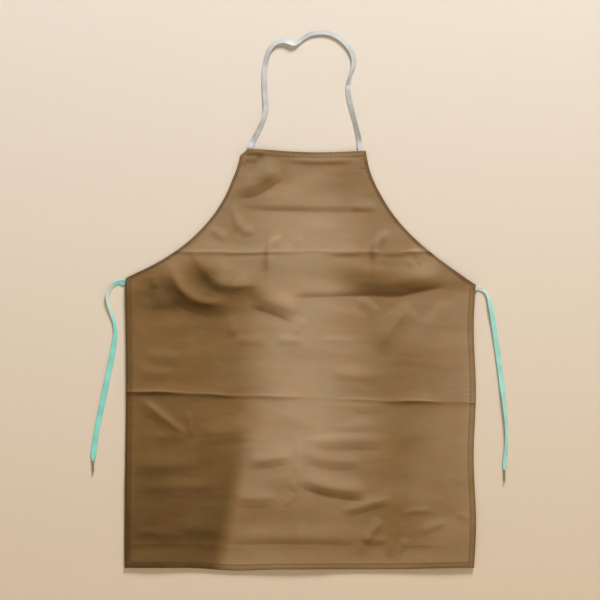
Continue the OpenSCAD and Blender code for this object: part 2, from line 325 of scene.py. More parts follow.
def pressed_crease(x, z, height, tilt, size, wander):
    """A crest with a fine line pressed below it: its relief, and the painted shade below the crest, with a
    little painted light above it.
    """
    s = z - height - tilt * x - wander * np.sin(x * 21 + 1.3) - 0.5 * wander * np.sin(x * 57)
    strength = 0.8 + 0.35 * np.sin(x * 13 + height * 40) * np.sin(x * 31 + 2)
    strength *= 1 - 0.7 * bell((x - 0.05) / 0.11) + 0.3 * bell((x - 0.225) / 0.05)
    strength *= 1 - 0.6 * soft_step((x - 0.27) / 0.06)
    crest = np.exp(-np.abs(s) / np.where(s > 0, 13 * MM, 8 * MM))
    line = bell((s + 1.2 * MM) / (1.4 * MM))
    # Painted shade just below the crest and a little painted light above it, as if lit from above.
    crease_shading = bell((s + 3.6 * MM) / (3.6 * MM)) - 0.4 * bell((s - 2.4 * MM) / (2.6 * MM))
    return strength * (size * crest - 0.3 * MM * line), strength * size * crease_shading / (2 * MM)


def free_relief(x, z):
    """The relief before it's held down near the folds."""
    points = np.stack([x, z], axis=1)
    rise = uneven(x, z)
    for fold in FOLDS:
        add_ridge(rise, points, *fold)
    for crease in CREASES:
        rise += pressed_crease(x, z, *crease)[0]
    # A faint upright crease runs up the middle of the skirt.
    centre_line = np.exp(-np.abs(x + 4 * MM) / (7 * MM)) * soft_step((0.36 - z) / 0.06)
    return rise + (0.4 * MM + 1.1 * MM * bell((z - 0.21) / 0.09)) * centre_line


def room_beside(fold_z, z, least, widening):
    """Height that relief may have beside a pressed fold, so that the fold can close."""
    beside = np.abs(z - fold_z)
    return least + widening * beside + 1.5 * MM * bell(beside / (4 * MM))


def wrinkles(x, z):
    """Height of the cloth above its resting plane, towards the viewer, without hems and stitches."""
    rise = free_relief(x, z)
    # The bib closes to a few degrees, so it and the cloth it meets share the little room left between them.
    beside = np.abs(z - BIB_FOLD_Z)
    met = (rise > 0) & (beside < BIB_REACH)
    facing = np.maximum(free_relief(x[met], 2 * BIB_FOLD_Z - z[met]), 0)
    room = room_beside(BIB_FOLD_Z, z[met], 1.0 * MM, 0.1)
    room += 20 * MM * soft_step((beside[met] - BIB_REACH) / (20 * MM) + 1)
    both = rise[met] + facing
    rise[met] *= room * np.tanh(both / room) / both
    room = room_beside(SKIRT_FOLD_Z, z, 1.1 * MM, 0.2)
    rise = np.where(rise > 0, room * np.tanh(rise / room), rise)
    rise = np.where(rise < 0, -DEEPEST * np.tanh(-rise / DEEPEST), rise)
    # The left bib corner stands off the table, because it is turned back.
    turned = np.hypot(x + BIB_HALF - 12 * MM, z - PANEL_TOP + 12 * MM)
    return rise + 3.2 * MM * bell(turned / (38 * MM))


def hem_cover(x, z):
    """1 on the turned hems and 0 on the single cloth, with the count of hems that overlap there."""
    side, bottom, top, arm = edge_distances(x, z)
    edge = 0.12 * MM
    hems = [soft_step((HEM_W - d) / edge) for d in (side, bottom, top)]
    hems.append(soft_step((ARM_HEM_W - arm) / edge))
    return np.max(hems, axis=0), np.sum(hems, axis=0)


def seam_groove(x, z):
    """Depth of the groove that the stitches pull into the cloth, with the puckers beside it."""
    side, bottom, top, arm = edge_distances(x, z)
    groove = np.zeros(len(x))
    pucker = np.zeros(len(x))
    for off, along, sewn in (
        (side - SEAM_IN, z, z < WAIST_Z), (bottom - SEAM_IN, x, True), (top - SEAM_IN, x, True),
        (arm - ARM_SEAM_IN, x - z, True)
    ):
        groove = np.maximum(groove, np.where(sewn, bell(off / (1.1 * MM)), 0))
        ripple = np.sin(along * 2 * math.pi / (8.5 * MM) + 2.2 * np.sin(along * 55))
        pucker += np.where(sewn, ripple * bell(off / (6 * MM)), 0)
    return groove, pucker


def rim_recess(x, z):
    """How far the surface curves back at the folded rim."""
    edge = np.maximum(np.min(edge_distances(x, z), axis=0), 0)
    return RIM_R - np.sqrt(np.maximum(RIM_R**2 - np.maximum(RIM_R - edge, 0) ** 2, 0)), edge


def front_depth(x, z):
    """How far the front surface lies behind the plain cloth: rim, stitch groove, puckers and padded hems."""
    rim, edge = rim_recess(x, z)
    groove, pucker = seam_groove(x, z)
    padded = 0.3 * MM * soft_step((edge - 0.6 * MM) / (1.5 * MM)) * hem_cover(x, z)[0]
    return rim + 0.36 * MM * groove - 0.22 * MM * pucker - padded


def back_depth(x, z):
    """How far behind its front the cloth's back lies: one layer, or three and more on the hems."""
    rim, _ = rim_recess(x, z)
    groove, pucker = seam_groove(x, z)
    cover, count = hem_cover(x, z)
    layers = CLOTH_T + HEM_T * cover + 0.5 * MM * np.clip(count - 1, 0, 1)
    return layers - rim - 0.35 * MM * groove + 0.15 * MM * pucker


# ---------------------------------------------------------------- shape of the panel in its own plane
# The left corner of the bib is turned back along this line.
TURN_AT = np.array([-BIB_HALF + 27 * MM, PANEL_TOP])
TURN_TO = np.array([-BIB_HALF + 7 * MM, PANEL_TOP - 18 * MM])
TURN_R = 3.0 * MM


def outline_drift(x, z):
    """The cut edges aren't quite straight: small shifts of the flat pattern, fading inwards."""
    left, right = soft_step((-x - 0.25) / 0.13), soft_step((x - 0.25) / 0.13)
    dx = left * (3.0 * MM * bell((z - 0.42) / 0.16) - 1.0 * MM * bell((z - 0.05) / 0.1))
    waves = 2.4 * MM * np.cos((z - 0.105) * 2 * math.pi / 0.285) - 0.6 * MM
    dx += right * waves * soft_step((0.66 - z) / 0.1)
    # The bib lies a little to the right, with its two shoulders drawn in.
    dx += 7.5 * MM * soft_step((z - 0.612) / 0.05)
    dx += 4.0 * MM * soft_step((-x - 0.09) / 0.03) * soft_step((z - 0.84) / 0.05)
    dx -= 4.2 * MM * soft_step((x - 0.09) / 0.03) * soft_step((z - 0.80) / 0.08)
    # The bottom hem isn't straight and rises at its ends, and the waist corners and top edge aren't level.
    low = bell(z / 0.12)
    dz = 3 * MM * bell(z / 0.05) * soft_step((x + 0.14) / 0.1)
    dz += low * (6.0 * MM * soft_step((-x - 0.13) / 0.12) + 3.4 * MM * soft_step((x - 0.2) / 0.16))
    high = bell((PANEL_TOP - z) / 0.06)
    shoulder = bell((z - WAIST_Z) / 0.09)
    dz += shoulder * (9 * MM * soft_step((-x - 0.2) / 0.18) - 6 * MM * soft_step((x - 0.2) / 0.18))
    dz += high * (3.4 * MM * soft_step((-x - 0.02) / 0.09) - 3.4 * MM * bell((x - 0.035) / 0.075))
    return dx, dz


def turn_corner(x, y, z, behind):
    """Folds the left bib corner to the back. behind is how far a point lies behind the front of the cloth."""
    along = (TURN_TO - TURN_AT) / np.linalg.norm(TURN_TO - TURN_AT)
    out = np.array([along[1], -along[0]])
    s = (x - TURN_AT[0]) * out[0] + (z - TURN_AT[1]) * out[1]
    over = (s > 0) & (x < 0) & (z > WAIST_Z)
    neutral = TURN_R - 1.2 * MM
    angle = np.clip(s / neutral, 0, math.pi)
    radius = TURN_R - behind
    ahead = radius * np.sin(angle) - np.maximum(s - math.pi * neutral, 0)
    back = TURN_R - radius * np.cos(angle)
    x2 = x + (ahead - s) * out[0]
    z2 = z + (ahead - s) * out[1]
    y2 = y - behind + back
    return np.where(over, x2, x), np.where(over, y2, y), np.where(over, z2, z)


def on_cloth(x, z, behind):
    """Points of the flat pattern, laid in place. behind is how far they lie behind the front of the cloth."""
    x, z = np.asarray(x, float), np.asarray(z, float)
    behind = np.broadcast_to(behind, x.shape)
    y = FRONT_Y - wrinkles(x, z) + behind
    dx, dz = outline_drift(x, z)
    return np.stack(turn_corner(x + dx, y, z + dz, behind), axis=1)


# ---------------------------------------------------------------- meshes
def add_mesh(name, verts, faces, uv=None, normals=None, numbers=None):
    """A smooth mesh object. uv and numbers hold values for each vertex."""
    mesh = bpy.data.meshes.new(name)
    mesh.from_pydata(verts.tolist(), [], [list(f) for f in faces])
    mesh.polygons.foreach_set("use_smooth", [True] * len(mesh.polygons))
    if uv is not None:
        corner_vertex = np.zeros(len(mesh.loops), np.int32)
        mesh.loops.foreach_get("vertex_index", corner_vertex)
        layer = mesh.uv_layers.new(name="flat")
        layer.data.foreach_set("uv", uv[corner_vertex].astype(np.float32).ravel())
    for key, values in (numbers or {}).items():
        attribute = mesh.attributes.new(key, "FLOAT", "POINT")
        attribute.data.foreach_set("value", values.astype(np.float32))
    mesh.update()
    if normals is not None:
        mesh.normals_split_custom_set_from_vertices(normals.tolist())
    obj = bpy.data.objects.new(name, mesh)
    bpy.context.scene.collection.objects.link(obj)
    return obj


def grid_faces(rows, columns, start=0, flip=False):
    r, c = np.meshgrid(np.arange(rows - 1), np.arange(columns - 1), indexing="ij")
    a = start + (r * columns + c).ravel()
    quads = np.stack([a, a + 1, a + columns + 1, a + columns], axis=1)
    return quads[:, ::-1] if flip else quads


def tube_faces(rings, sides, start=0):
    """Faces of a tube whose rings follow one another, closed at both ends."""
    faces = []
    for a in range(start, start + (rings - 1) * sides, sides):
        for k in range(sides):
            k2 = (k + 1) % sides
            faces.append((a + k, a + k2, a + sides + k2, a + sides + k))
    last = start + (rings - 1) * sides
    faces.append(tuple(range(start + sides - 1, start - 1, -1)))
    faces.append(tuple(range(last, last + sides)))
    return faces


def grid_normals(points):
    """Unit normals of a rows x columns x 3 grid, towards the viewer when rows go up and columns right."""
    return unit(np.cross(np.gradient(points, axis=1), np.gradient(points, axis=0)))


# Distances from an edge, close together where the rim, the stitches and the hem's inner edge need it.
NEAR = np.array(
    [0, 0.12, 0.35, 0.7, 1.2, 2, 3, 4.2, 5.5, 6.8, 8, 9.2, 10.1, 10.7, 11.1, 11.5, 11.9, 12.3, 12.9, 13.5,
     13.87, 13.95, 14.0, 14.05, 14.4, 15.5, 17.5, 20]
) * MM
ARM_NEAR = np.interp(NEAR, [0, 2 * MM, SEAM_IN, HEM_W, 20 * MM], [0, 2 * MM, ARM_SEAM_IN, ARM_HEM_W, 14 * MM])
MIDDLE_COLUMNS = 205


def edge_path():
    """The right edge from bottom to top: points, inward directions, and 0 on the side to 1 on the armhole.
    The directions are scaled so that a step of d along one ends d away from the edge."""
    steps = 400
    side = np.stack([np.full(steps, PANEL_HALF), np.linspace(0, WAIST_Z, steps + 1)[:-1]], axis=1)
    arm = resample(ARM_EDGE, 1 * MM)
    points = np.vstack([side, arm])
    tangent = directions(arm)
    lean = np.concatenate([np.zeros(steps), np.arctan2(-tangent[:, 0], tangent[:, 1])])
    passed = run_lengths(points) - WAIST_Z
    passed[steps] = 0
    half_turn = lean[steps] / 2
    mitre = half_turn * (1 - soft_step(np.abs(passed) / (60 * MM)))
    turn = np.where(passed < 0, mitre, lean - mitre)
    turn *= soft_step((passed[-1] - passed) / (70 * MM))
    inward = np.stack([-np.cos(turn), -np.sin(turn)], axis=1) / np.cos(turn - lean)[:, None]
    return points, inward, soft_step((passed + 15 * MM) / (30 * MM)), steps


def panel_rows(inner_z, corner_row_z):
    """Heights of the rows in the middle of the panel, closer together at the hems and pressed folds."""
    def run(a, b, step):
        return np.linspace(a, b, max(1, int(round((b - a) / step))) + 1)[1:]

    rows = [NEAR]
    stops = [
        (SKIRT_FOLD_Z - 20 * MM, 3.2), (SKIRT_FOLD_Z + 24 * MM, 1.3), (SPLIT_Z, 3.2), (corner_row_z, 3.2),
        (BIB_FOLD_Z - 9 * MM, 3.2), (BIB_FOLD_Z + 9 * MM, 1.0), (PANEL_TOP - NEAR[-1], 3.2),
    ]
    at = NEAR[-1]
    for stop, step in stops:
        rows.append(run(at, stop, step * MM))
        at = stop
    rows.append((PANEL_TOP - NEAR[::-1])[1:])
    return np.concatenate(rows)


def panel_grid():
    """Flat pattern positions of the whole panel, rows x columns, and the row at which the panel is cut."""
    points, inward, arm_share, corner_index = edge_path()
    reach = NEAR[-1] * (1 - arm_share) + ARM_NEAR[-1] * arm_share
    inner = points + inward * reach[:, None]
    rows = panel_rows(inner[:, 1], inner[corner_index, 1])
    at = np.interp(rows, inner[:, 1], np.arange(len(points)))
    at[np.argmin(np.abs(rows - inner[corner_index, 1]))] = corner_index
    at[0], at[-1] = 0, len(points) - 1

    def sample(values):
        return np.interp(at, np.arange(len(points)), values)

    edge = np.stack([sample(column) for column in points.T], axis=1)
    direction = np.stack([sample(column) for column in inward.T], axis=1)
    arm = sample(arm_share)[:, None]
    near = NEAR[None, :] * (1 - arm) + ARM_NEAR[None, :] * arm
    right_x = edge[:, :1] + direction[:, :1] * near
    right_z = edge[:, 1:] + direction[:, 1:] * near
    half = right_x[:, -1:]
    share = np.linspace(-1, 1, MIDDLE_COLUMNS + 2)[None, 1:-1]
    middle_x = half * share
    middle_z = np.repeat(right_z[:, -1:], share.shape[1], axis=1)
    x = np.hstack([-right_x, middle_x, right_x[:, ::-1]])
    z = np.hstack([right_z, middle_z, right_z[:, ::-1]])
    return x, z, int(np.argmin(np.abs(rows - SPLIT_Z)))


# Soft patches of painted shade, and of painted light where the strength is negative: centre, reach sideways,
# reach up and down, all in mm, and strength.
PAINTED_SHADE_PATCHES = [
    ((-70, 845), 60, 34, 0.14),
    ((90, 850), 60, 60, 0.06),
    ((-300, 610), 70, 50, 0.20),
    ((-208, 632), 28, 20, 0.16),
    ((-200, 588), 90, 26, 0.16),
    ((-100, 616), 60, 16, 0.14),
    ((-54, 569), 50, 16, 0.10),
    ((185, 621), 110, 22, 0.22),
    ((205, 440), 80, 170, 0.20),
    ((215, 150), 60, 130, 0.14),
    ((30, 80), 150, 40, 0.06),
    ((150, 642), 90, 20, 0.40),
    ((-87, 598), 30, 14, 0.10),
    ((-210, 646), 110, 18, 0.15),
    ((-87, 600), 36, 16, 0.12),
    ((-280, 596), 70, 20, 0.06),
    ((-300, 150), 90, 50, -0.05),
    ((-313, 200), 40, 26, 0.12),
    ((218, 284), 44, 40, 0.08),
    ((90, 210), 60, 30, 0.05),
    ((374, 371), 20, 200, -0.10),
    ((-368, 190), 16, 150, -0.05),
    ((100, 825), 55, 40, 0.08),
    ((136, 775), 40, 30, 0.06),
    ((108, 254), 50, 36, 0.08),
    ((140, 34), 26, 16, 0.10),
    ((-62, 184), 40, 40, 0.05),
    ((88, 686), 38, 5, 0.34),
    ((198, 685), 32, 4, 0.24),
    ((-120, 689), 46, 4, 0.24),
    ((-80, 684), 5, 34, 0.22),
    ((151, 690), 5, 34, 0.13),
    ((108, 654), 44, 22, 0.18),
    ((345, 634), 26, 14, 0.12),
    ((-215, 680), 40, 16, 0.14),
    ((20, 662), 60, 22, 0.14),
    ((300, 657), 24, 14, 0.14),
    ((-130, 668), 26, 10, 0.16),
    ((135, 584), 56, 12, 0.12),
    ((330, 362), 50, 12, 0.10),
    ((-106, 899), 26, 10, 0.16),
    ((-96, 846), 34, 16, 0.12),
    ((60, 889), 90, 7, 0.10),
    ((70, 836), 60, 12, 0.08),
    ((10, 828), 44, 26, 0.12),
    ((50, 251), 44, 14, 0.12),
    ((-60, 164), 44, 14, -0.11),
    ((83, 160), 26, 12, -0.14),
    ((-235, 166), 70, 16, -0.08),
    ((196, 34), 16, 14, 0.16),
    ((170, 513), 36, 24, 0.10),
    ((-200, 600), 14, 9, 0.13),
]


def cloth_tone_and_painted_light(x, z):
    """Share of full lightness, mostly painted light and shade: a painted sheen down the middle and painted
    shade on the left.
    """
    # The painted shade on the left ends at this x, further left towards the bottom and more softly higher up.
    border = -104 * MM - 0.22 * np.clip(0.34 - z, 0, 0.34)
    softness = 22 * MM + 0.16 * np.clip(z - 0.2, 0, 1)
    left = soft_step((border - x) / (2 * softness) + 0.5)
    left *= 0.62 + 0.38 * soft_step((0.5 - z) / 0.4)
    left *= soft_step((0.68 - z) / 0.1)
    low = soft_step((0.36 - z) / 0.3) * (1 - 0.9 * soft_step((0.075 - z) / 0.06))
    middle = bell((x - 0.012) / 0.11) * soft_step((z - 0.12) / 0.16) * soft_step((0.9 - z) / 0.12)
    # A painted sheen lightens the middle, painted shade darkens the left, and the cloth is darker towards the
    # bottom.
    tone_and_painted_light = 0.70 + 0.28 * middle - 0.46 * left - 0.12 * low
    # The patches add painted shade, and painted light where their strength is negative.
    for (patch_x, patch_z), wide, tall, strength in PAINTED_SHADE_PATCHES:
        tone_and_painted_light -= strength * bell(np.hypot((x / MM - patch_x) / wide, (z / MM - patch_z) / tall))
    # Painted shade below each pressed crease, with painted light just above it.
    for crease in CREASES:
        tone_and_painted_light -= 0.16 * pressed_crease(x, z, *crease)[1]
    # Painted shade on the lower side of the folds, which faces away from the light. The hems are darker too,
    # and painted shade darkens the rim.
    step = 1.5 * MM
    lee = (wrinkles(x, z + step) - wrinkles(x, z - step)) / (2 * step)
    tone_and_painted_light -= 0.6 * np.clip(lee, -0.1, 0.5)
    # Where the folds lie flattened, their lost relief is painted in: painted light on slopes facing the
    # light, painted shade on the others.
    lost = [np.maximum(free_relief(x + k * 0.5 * step, z + k * 0.87 * step), 0)
            - np.maximum(wrinkles(x + k * 0.5 * step, z + k * 0.87 * step), 0) for k in (-1, 1)]
    tone_and_painted_light += 1.1 * np.clip((lost[0] - lost[1]) / (2 * step), -0.16, 0.12)
    edge = np.min(edge_distances(x, z), axis=0)
    return np.maximum(tone_and_painted_light - 0.14 * hem_cover(x, z)[0] - 0.22 * bell(edge / (4 * MM)), 0.02)


def rim_walk(rows, columns):
    """Indices of the outermost points of a grid, once round it."""
    return np.concatenate([
        np.arange(columns),
        np.arange(1, rows) * columns + columns - 1,
        (rows - 1) * columns + np.arange(columns - 2, -1, -1),
        np.arange(rows - 2, 0, -1) * columns,
    ])


def cloth_piece(name, skins, flat, tone_and_painted_light, cut_row):
    """A closed piece of cloth between its two skins, which are grids of places and normals."""
    rows, columns = tone_and_painted_light.shape
    count = rows * columns
    around = rim_walk(rows, columns)
    following = np.roll(around, -1)
    cut = (around // columns == cut_row) & (following // columns == cut_row)
    rim, rim_next = around[~cut], following[~cut]
    # The cut is closed with points of its own, so that it doesn't bend the shading of the cloth.
    line = np.append(around[cut], following[cut][-1])
    skin = np.vstack([grid.reshape(-1, 6) for grid in skins])
    cap = skin[np.append(line, line + count)]
    cap[:, 3:] = (0, 0, 1 if cut_row else -1)
    points = np.vstack([skin, cap])
    n = len(line)
    first = np.arange(n - 1) + 2 * count
    faces = np.vstack([
        grid_faces(rows, columns),
        grid_faces(rows, columns, count, flip=True),
        np.stack([rim_next, rim, rim + count, rim_next + count], axis=1),
        np.stack([first + 1, first, first + n, first + n + 1], axis=1),
    ])
    flat = flat.reshape(-1, 2)
    uv = np.vstack([flat, flat, flat[line], flat[line]])
    # Each point keeps its painted light and shade for the material; the closing faces get a plain 0.8.
    tones = np.append(tone_and_painted_light.ravel(), np.full(count + 2 * n, 0.8))
    front = np.append(np.ones(count), np.zeros(count + 2 * n))
    return add_mesh(name, points[:, :3], faces, uv, points[:, 3:], {"tone_and_painted_light": tones, "front": front})


def build_panel():
    """The whole panel with its turned hems, cut in two at the waist."""
    x, z, cut = panel_grid()
    skins = []
    for depth, facing in ((front_depth, 1), (back_depth, -1)):
        places = on_cloth(x.ravel(), z.ravel(), depth(x.ravel(), z.ravel())).reshape(x.shape + (3,))
        skins.append(np.concatenate([places, facing * grid_normals(places)], axis=2))
    # Painted light and shade for each point of the panel.
    tone_and_painted_light = cloth_tone_and_painted_light(x.ravel(), z.ravel()).reshape(x.shape)
    flat = np.stack([x, z], axis=2)
    low, high = slice(0, cut + 1), slice(cut, None)
    lower = cloth_piece("cloth_lower", [skin[low] for skin in skins], flat[low], tone_and_painted_light[low], cut)
    upper = cloth_piece("cloth_upper", [skin[high] for skin in skins], flat[high], tone_and_painted_light[high], 0)
    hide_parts("skirt_panel", "waist_panel")
    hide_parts("bib_panel", "waist_panel")
    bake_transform(lower)
    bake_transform(upper)
    return [lower, upper]


# ---------------------------------------------------------------- tapes
NECK_RISE = corner("neck_loop", 1)[2] - PANEL_TOP - TAPE_W / 2
NECK_FOOT_L = np.array([-109 * MM, NECK_FOLD[2]])
NECK_FOOT_R = np.array([130 * MM, NECK_FOLD[2]])
NECK_LEAN_L = math.radians(-30)
NECK_LEAN_R = math.radians(5)
NECK_TAIL = 50 * MM
TIE_TAIL = 37 * MM
SIGN = {"left": -1, "right": 1}
TIE_STEP = 1.5 * MM
# The way a tie runs where it bends down, on the right.
TIE_BEND = np.array([0.84, -0.54])
# The size to which a tie is rolled up in its aglet.
ROLL_W = 3.5 * MM
ROLL_T = 3.3 * MM


def lean(angle):
    return np.array([-math.sin(angle), math.cos(angle)])


def behind_cloth(x, z, behind):
    """A point behind the panel, not turned with its corner."""
    dx, dz = outline_drift(x, z)
    return np.stack([x + dx, FRONT_Y - wrinkles(x, z) + behind, z + dz], axis=1)


def neck_pattern(x, z):
    """Pattern points of the neck tape's sewn ends, which drift with the bib only at their lower end."""
    dx, dz = outline_drift(x, z)
    held = soft_step((z - NECK_FOLD[2] + 30 * MM) / (30 * MM))
    return x - dx * held, z - dz * held


def tape_depth(x, z, ahead):
    """How far behind the cloth's front the middle of a tape lies, clear of the hems under it. The tape runs
    ahead from each point."""
    ahead = np.broadcast_to(ahead, (len(x), 2))
    offsets = [off * MM for off in (-5.5, -2.8, 0, 2.8, 5.5)]
    under = [back_depth(x - ahead[:, 1] * off, z + ahead[:, 0] * off) for off in offsets]
    return np.maximum(np.max(under, axis=0), CLOTH_T) + 0.3 * MM + TAPE_T / 2


def tape_mesh(name, centres, twist, width, thick, seed=0, faded=None):
    """A woven tape along centres, an n x 3 array. Twist 0 lies flat, facing the viewer.
    The tape is a little thicker along its two selvedges. faded is how far its dye is washed out."""
    faded = np.zeros(len(centres)) if faded is None else faded
    tangent = directions(centres)
    flat_side = unit(np.cross([0.0, 1.0, 0.0], tangent))
    face = np.cross(tangent, flat_side)
    c, s = np.cos(twist)[:, None], np.sin(twist)[:, None]
    across = flat_side * c + face * s
    outward = face * c - flat_side * s
    per_face = 13
    ring = 2 * per_face
    u = np.concatenate([np.linspace(-0.5, 0.5, per_face), np.linspace(0.5, -0.5, per_face)])
    sign = np.repeat([1, -1], per_face)
    half_t = 0.5 - 0.5 * np.clip((np.abs(u) - 0.44) / 0.06, 0, 1) ** 2 + 0.14 * bell((np.abs(u) - 0.4) / 0.06)
    half_t[[0, per_face - 1, per_face, -1]] = 0.22
    along = run_lengths(centres)
    cup = 0.35 * MM * np.sin(along * 61 + seed) + 0.2 * MM * np.sin(along * 143 + 2 * seed)
    verts = (
        centres[:, None, :]
        + across[:, None, :] * (u[None, :, None] * width[:, None, None])
        + outward[:, None, :] * (sign * half_t)[None, :, None] * thick[:, None, None]
        + outward[:, None, :] * (cup[:, None] * (0.25 - u[None, :] ** 2))[:, :, None]
    )
    uv = np.stack([np.tile(u * TAPE_W, len(centres)), np.repeat(along, ring)], axis=1)
    faces = tube_faces(len(centres), ring)
    return add_mesh(name, verts.reshape(-1, 3), faces, uv, numbers={"faded": np.repeat(faded, ring)})


def resting_depth(twist, width, thick):
    """Depth of a tape's middle so that its lower edge rests on the table."""
    half = 0.5 * (width * np.abs(np.sin(twist)) + thick * np.abs(np.cos(twist)))
    return REST_Y - half


def neck_curve():
    """Flat curve of the neck tape: left sewn end, loop and right sewn end."""
    # The loop is drawn 248 mm high above the fold, and stretched to the height it has in the frame.
    stretch = (NECK_RISE - 10 * MM) / (248 * MM)

    def at(x, z):
        return np.array([x * MM, NECK_FOLD[2] + z * MM * stretch])

    left, right = lean(NECK_LEAN_L), lean(NECK_LEAN_R)
    return join(
        np.array([NECK_FOOT_L - NECK_TAIL * left, NECK_FOOT_L]),
        bezier(NECK_FOOT_L, NECK_FOOT_L + 32 * MM * left, at(-74, 60), at(-74, 84), 16),
        bezier(at(-74, 84), at(-80, 151), at(-82, 224), at(-42, 228)),
        bezier(at(-42, 228), at(-22, 231), at(-19, 216), at(-6, 226), 16),
        bezier(at(-6, 226), at(10, 238), at(22, 248), at(48, 248), 16),
        bezier(at(48, 248), at(85, 248), at(116, 212), at(117.5, 186)),
        bezier(at(117.5, 186), at(118.5, 168), at(105, 150), at(104.5, 124)),
        bezier(at(104.5, 124), at(104, 96), NECK_FOOT_R + 42 * MM * right, NECK_FOOT_R),
        np.array([NECK_FOOT_R, NECK_FOOT_R - NECK_TAIL * right]),
    )


# How far each tape is turned about its own length: shares of the length, and degrees.
NECK_TWIST = (
    [0, 0.09, 0.15, 0.2, 0.3, 0.36, 0.41, 0.44, 0.47, 0.52, 0.6, 0.68, 0.72, 0.76, 0.8, 0.86, 0.93, 1],
    [0, 0, 34, 8, 6, -16, -22, -30, -8, -12, -14, -14, -44, 14, 8, 40, 8, 0],
)
TIE_TWIST = {
    "left": ([0, 0.08, 0.14, 0.19, 0.26, 0.4, 0.6, 0.8, 1], [0, 0, 18, 34, 24, 8, 18, 6, 0]),
    "right": (
        [0, 0.08, 0.14, 0.2, 0.3, 0.42, 0.58, 0.66, 0.8, 1],
        [0, 0, -20, -26, -16, -10, -14, -34, -40, 0],
    ),
}


def build_neck_tape():
    curve = resample(neck_curve(), 2 * MM)
    x, z = curve.T
    share = np.linspace(0, 1, len(curve))
    loop = soft_step((z - NECK_FOLD[2]) / (30 * MM))
    twist = np.radians(smooth_values(np.interp(share, *NECK_TWIST), 5)) * loop
    # The tape is drawn together a little round its crown, and more at the pinch on the right.
    width = TAPE_W * (1 - 0.06 * bell((share - 0.5) / 0.16) - 0.2 * bell((share - 0.72) / 0.03))
    thick = np.full(len(curve), TAPE_T)
    behind = tape_depth(x, np.minimum(z, PANEL_TOP - 2 * MM), directions(curve))
    on_turn = bell(np.hypot(x + BIB_HALF - 18 * MM, z - PANEL_TOP + 10 * MM) / (17 * MM))
    behind = np.maximum(behind, (2 * TURN_R + TAPE_T / 2 + 0.1 * MM) * soft_step(on_turn * 2.2))
    sewn = behind_cloth(*neck_pattern(x, np.minimum(z, PANEL_TOP)), smooth_values(behind, 4))
    free = np.stack([x, resting_depth(twist, width, thick), z], axis=1)
    share_free = soft_step((z - PANEL_TOP + 4 * MM) / (26 * MM))[:, None]
    centres = sewn * (1 - share_free) + free * share_free
    centres[:, 2] = np.where(z > PANEL_TOP, z, centres[:, 2])
    tape = tape_mesh("neck_tape", centres, twist, width, thick, seed=1)
    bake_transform(tape)
    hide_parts("neck_loop", "left_neck_tail", "right_neck_tail")
    return tape


def tie_parts(side):
    """One tie, drawn on the right: its flat curve from sewn end to aglet, its two joints and their line."""
    wrap, swing = (pivot(f"{side}_tie_{joint}")[[0, 2]] * [SIGN[side], 1] for joint in ("wrap", "swing"))
    out = unit(swing - wrap)
    tip_low, tip_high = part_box(f"{side}_aglet")
    end = np.array([abs(tip_low.x + tip_high.x) / 2, tip_high.z])
    sewn = wrap - out * TIE_TAIL

    def at(x, drop):
        return swing + np.array([x, -drop]) * MM

    if side == "left":
        hang = join(
            bezier(swing, swing + 8 * MM * out, at(17.5, 12.4), at(17.5, 26.4)),
            bezier(at(17.5, 26.4), at(17.5, 48.4), at(0, 66.4), at(0, 92.4)),
            bezier(at(0, 92.4), at(0, 144.4), end + [0, 64 * MM], end),
        )
    else:
        bulge = end + [5 * MM, 72 * MM]
        hang = join(
            bezier(swing, swing + 8 * MM * out, at(12.5, 34.4), at(15.5, 51.4)),
            bezier(at(15.5, 51.4), at(21, 83.4), bulge + [0, 55 * MM], bulge),
            bezier(bulge, bulge - [0, 28 * MM], end + [0, 22 * MM], end),
        )
    return join(np.array([sewn, swing]), hang), wrap, swing, out


def tie_gather(side, from_swing, lowered):
    """How much a tie is drawn together: at its root, and once more lower down."""
    if side == "left":
        return np.maximum(0.8 * bell(from_swing / (18 * MM)), bell((lowered - 70 * MM) / (38 * MM)))
    return np.maximum(bell(from_swing / (26 * MM)), 0.6 * bell((lowered - 330 * MM) / (80 * MM)))


def tie_fading(side, past_swing):
    """How far a tie's dye is washed out along its length."""
    if side == "left":
        return soft_step((past_swing - 2 * MM) / (9 * MM)) * soft_step((88 * MM - past_swing) / (40 * MM))
    return 0.3 + 0.7 * soft_step((44 * MM - past_swing) / (50 * MM))


